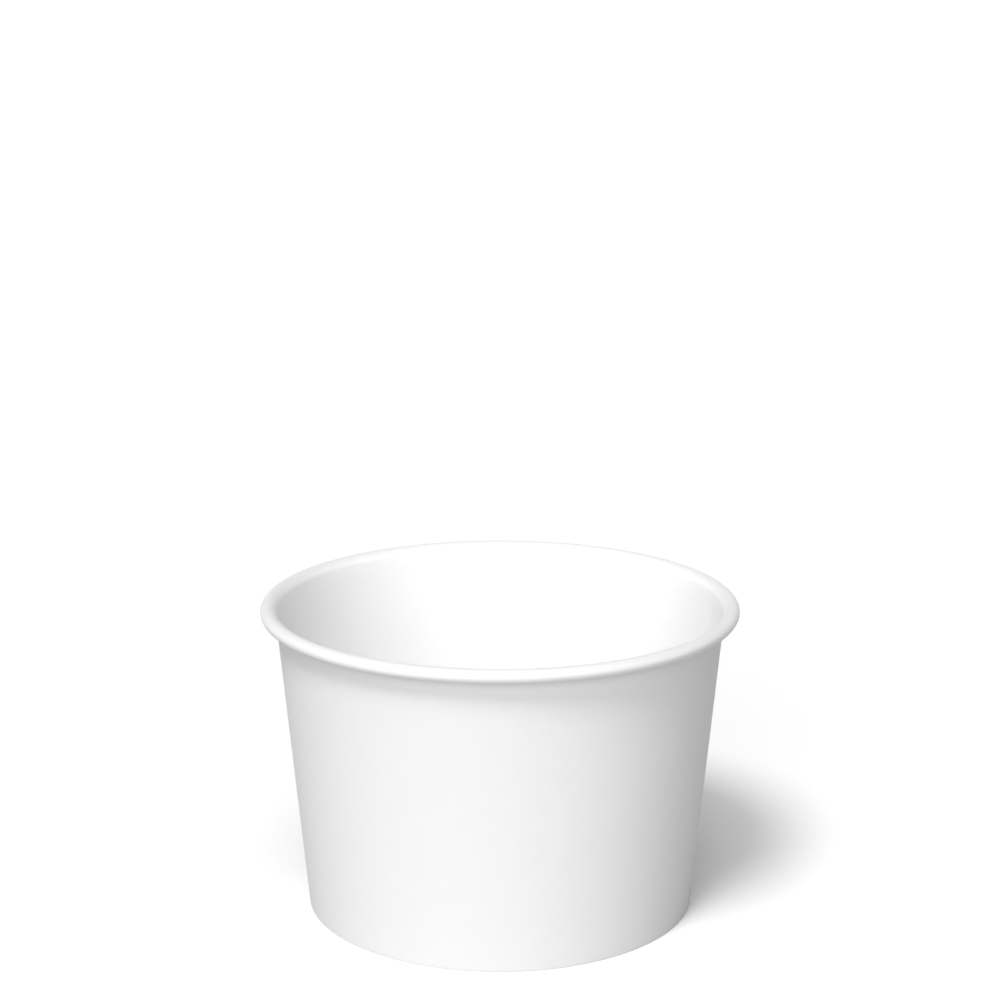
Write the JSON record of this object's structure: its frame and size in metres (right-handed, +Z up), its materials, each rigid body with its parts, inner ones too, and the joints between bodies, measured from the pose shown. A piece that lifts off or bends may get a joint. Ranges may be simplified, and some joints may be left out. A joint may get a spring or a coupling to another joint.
{
  "type": "paper food container",
  "caption": "Round tapered paper food container with a rolled rim, a lapped side seam and a raised bottom sealed into a folded foot, open at the top for hot or cold food.",
  "frame": {"origin": "middle of the foot ring, on the surface that the container stands on", "axes": "+Z up along the container's axis to the open mouth; the side seam's outer cut edge lies near +X; -Y faces the viewer of the picture"},
  "size_m": [0.115, 0.115, 0.0754],
  "materials": {
    "wall_board": "white coated paperboard, soft satin outside and film-coated inside",
    "bottom_board": "white film-coated paperboard, soft satin"
  },
  "bodies": {
    "root": {"sidewall": "wall_board", "bottom_disc": "bottom_board"}
  },
  "joints": []
}
